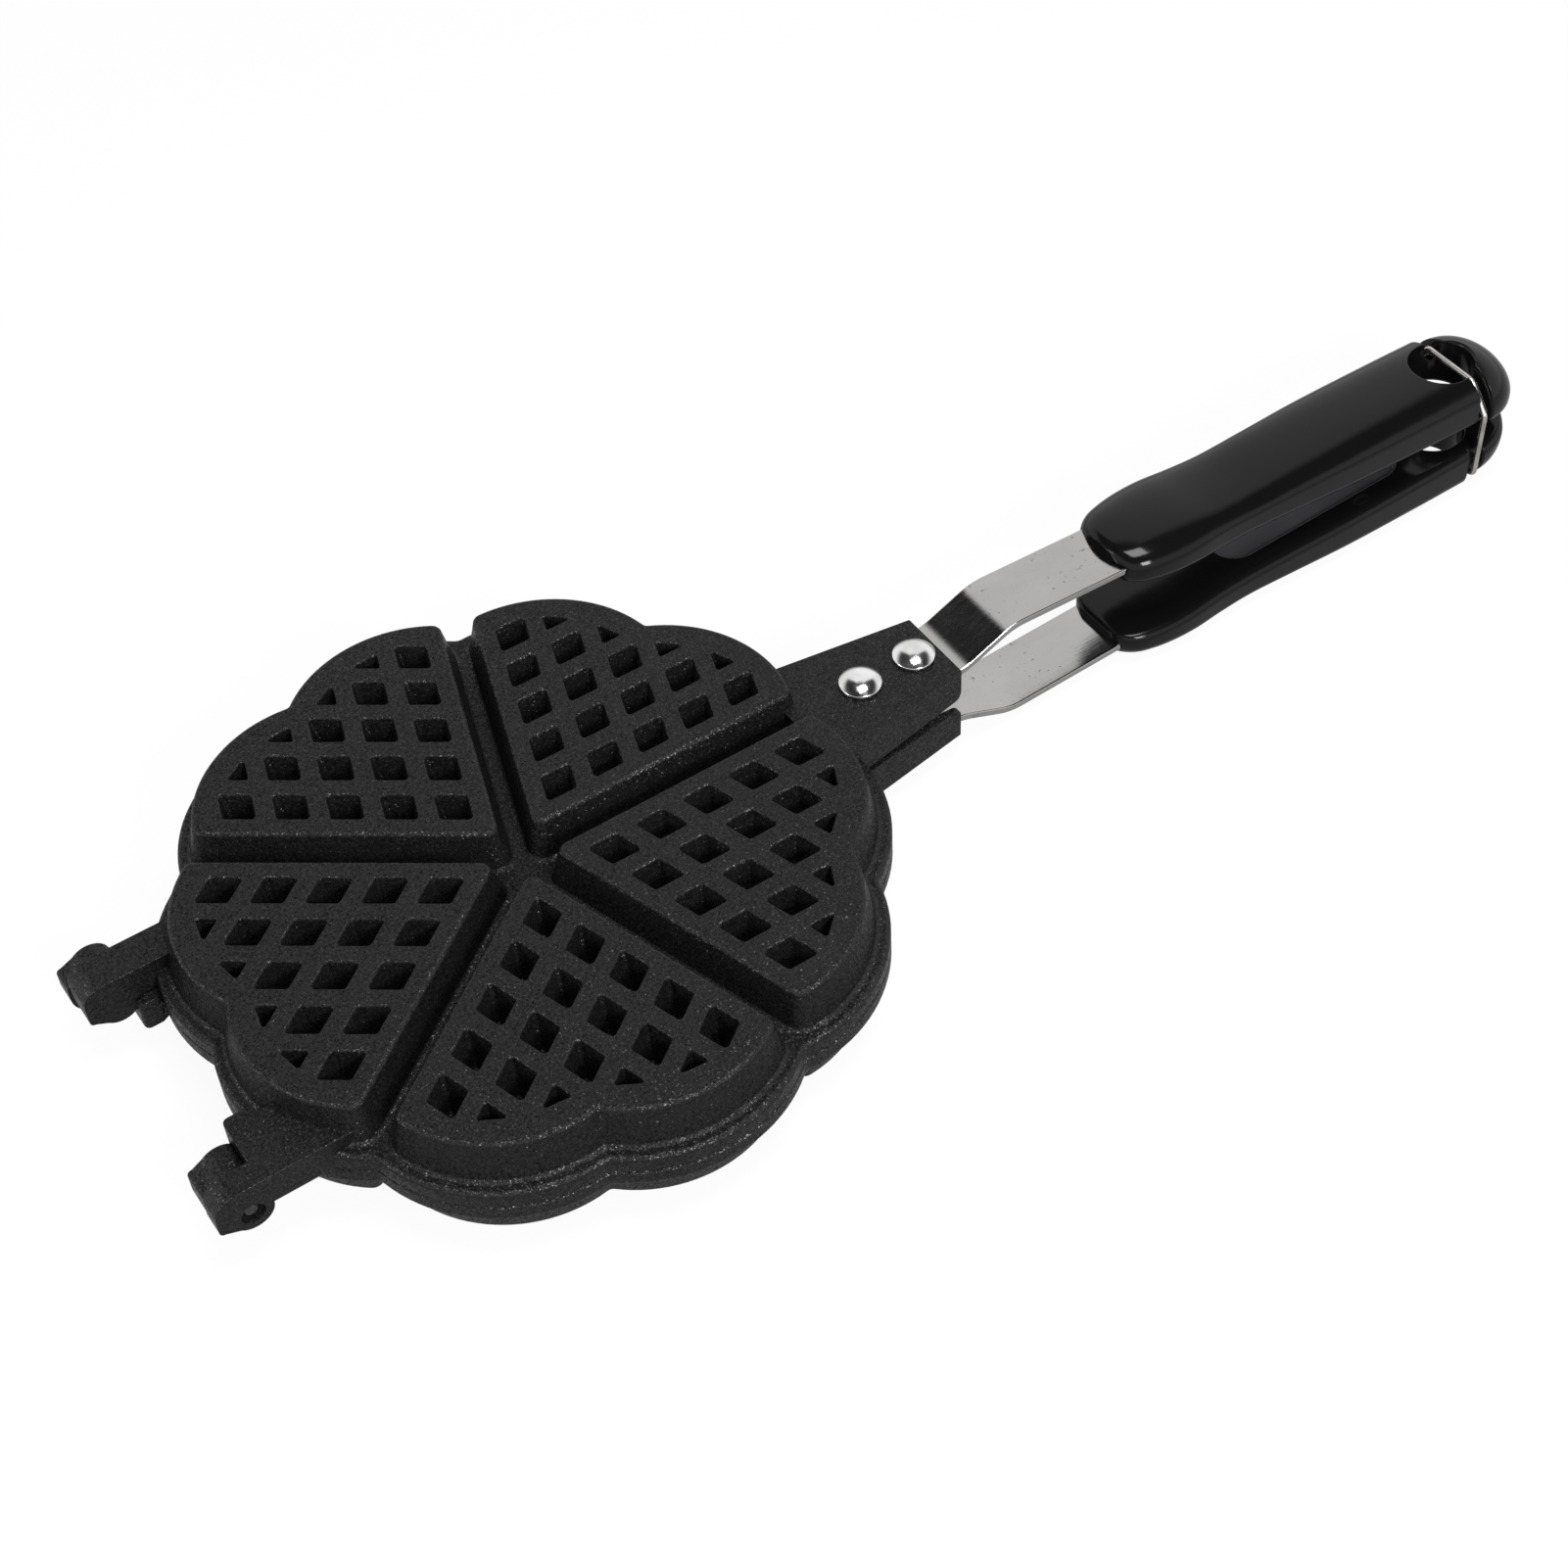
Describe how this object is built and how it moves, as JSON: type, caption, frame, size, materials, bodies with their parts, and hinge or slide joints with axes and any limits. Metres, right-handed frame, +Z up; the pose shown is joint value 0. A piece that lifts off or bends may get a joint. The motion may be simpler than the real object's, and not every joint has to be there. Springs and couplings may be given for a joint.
{
  "type": "stovetop waffle and sandwich maker",
  "caption": "Stovetop waffle and sandwich maker: hinged cast plates of heart-shaped pitted moulds, steel straps, glossy black grips and a wire bail that latches the grip ends.",
  "frame": {"origin": "bottom centre of the closed pan's bounding box", "axes": "+X from the hinge to the grip tips, +Y across the pan, +Z up through the closed plates, square to the plane where they meet"},
  "size_m": [0.396, 0.1704, 0.0382],
  "materials": {
    "cast_plate": "cast, with a matt black non-stick coating that has a fine sparkling grain",
    "steel_strap": "rolled strip, lightly polished",
    "black_grip": "glossy black heat-proof moulding",
    "steel_screw": "plain zinc-plated",
    "rivet_metal": "polished to a mirror",
    "pin_steel": "dark plain steel",
    "latch_steel": "satin drawn wire"
  },
  "bodies": {
    "lower_half": {"lower_plate": "cast_plate", "lower_strap": "steel_strap", "lower_handle": "black_grip", "lower_handle_screw": "steel_screw", "lower_front_rivet": "rivet_metal", "lower_rear_rivet": "rivet_metal", "hinge_pin_left": "pin_steel", "hinge_pin_right": "pin_steel"},
    "upper_half": {"upper_plate": "cast_plate", "upper_strap": "steel_strap", "upper_handle": "black_grip", "upper_handle_screw": "steel_screw", "upper_front_rivet": "rivet_metal", "upper_rear_rivet": "rivet_metal"},
    "latch": {"latch_wire": "latch_steel"}
  },
  "joints": [
    {"name": "plate_hinge", "type": "hinge", "parent": "lower_half", "child": "upper_half", "pos_m": [-0.19004, 0, 0.01911], "axis": [0, -1, 0], "range_deg": [0, 95]},
    {"name": "latch_swing", "type": "hinge", "parent": "lower_half", "child": "latch", "pos_m": [0.18089, 0, 0.0067], "axis": [0, 1, 0], "range_deg": [0, 100], "deforming": ["latch_wire"]}
  ]
}
